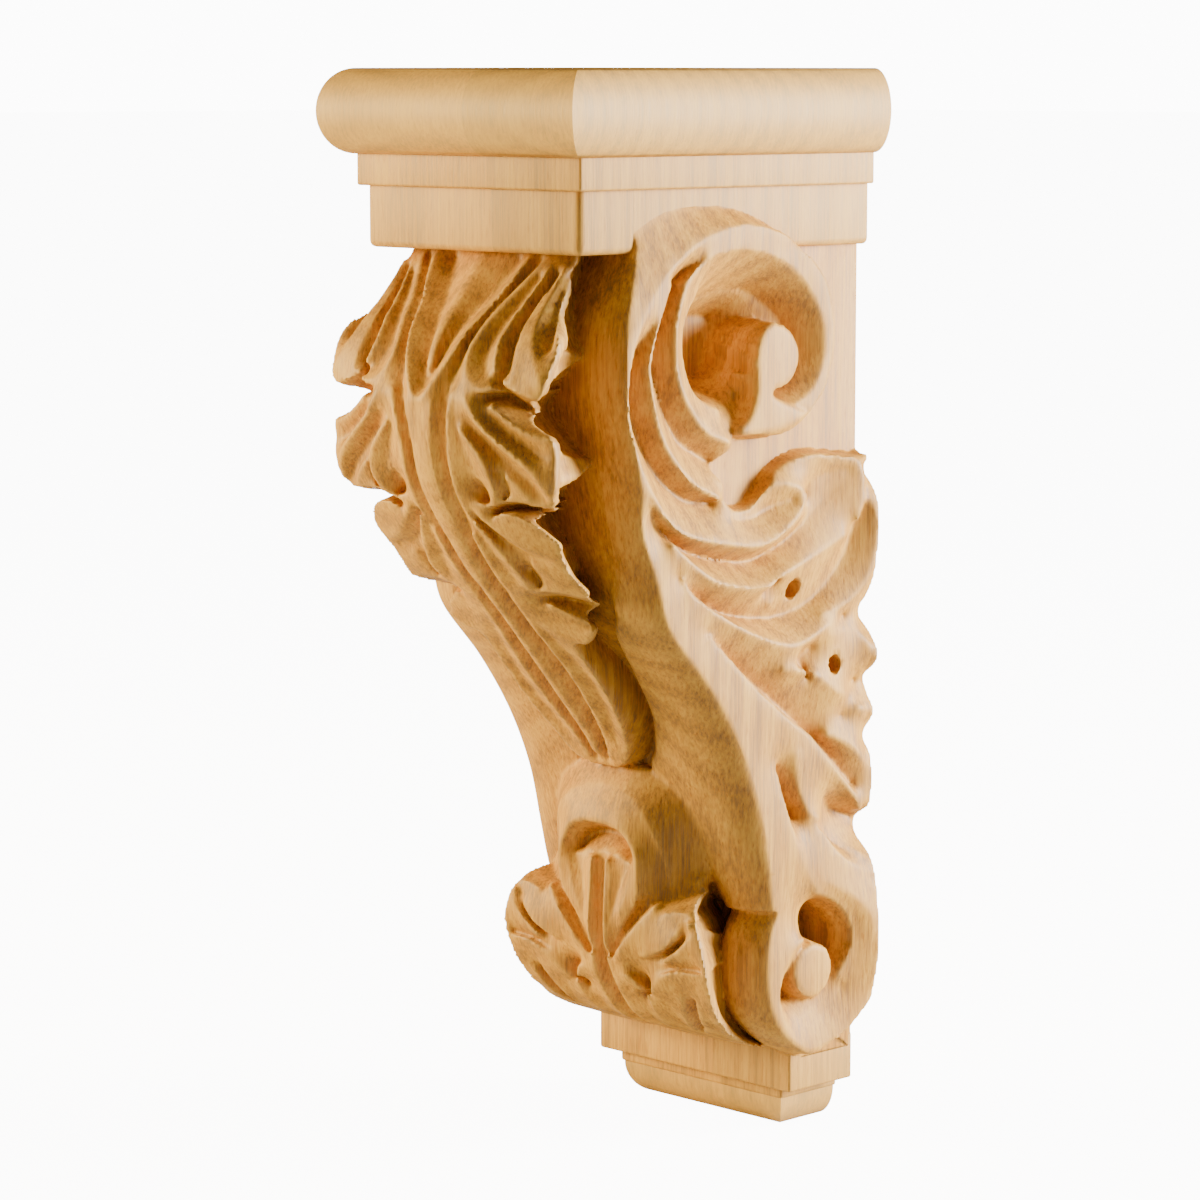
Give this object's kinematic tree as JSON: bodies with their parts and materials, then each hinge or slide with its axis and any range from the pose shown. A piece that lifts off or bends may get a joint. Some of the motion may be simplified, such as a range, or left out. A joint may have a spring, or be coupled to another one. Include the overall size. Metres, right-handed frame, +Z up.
{
  "type": "carved wooden corbel bracket",
  "caption": "Scrolled wooden corbel bracket with a moulded cap, carved acanthus leaves on the front and sides, and a small stepped foot; its flat back fixes to a wall.",
  "frame": {"origin": "on the flat back that lies against the wall, at the middle of its width and of the whole height", "axes": "+Z up, +Y into the wall, +X to the right of someone who looks at the wall"},
  "size_m": [0.119, 0.1565, 0.356],
  "materials": {
    "pale_hardwood": "sanded, unfinished"
  },
  "bodies": {
    "root": {"corbel": "pale_hardwood"}
  },
  "joints": []
}
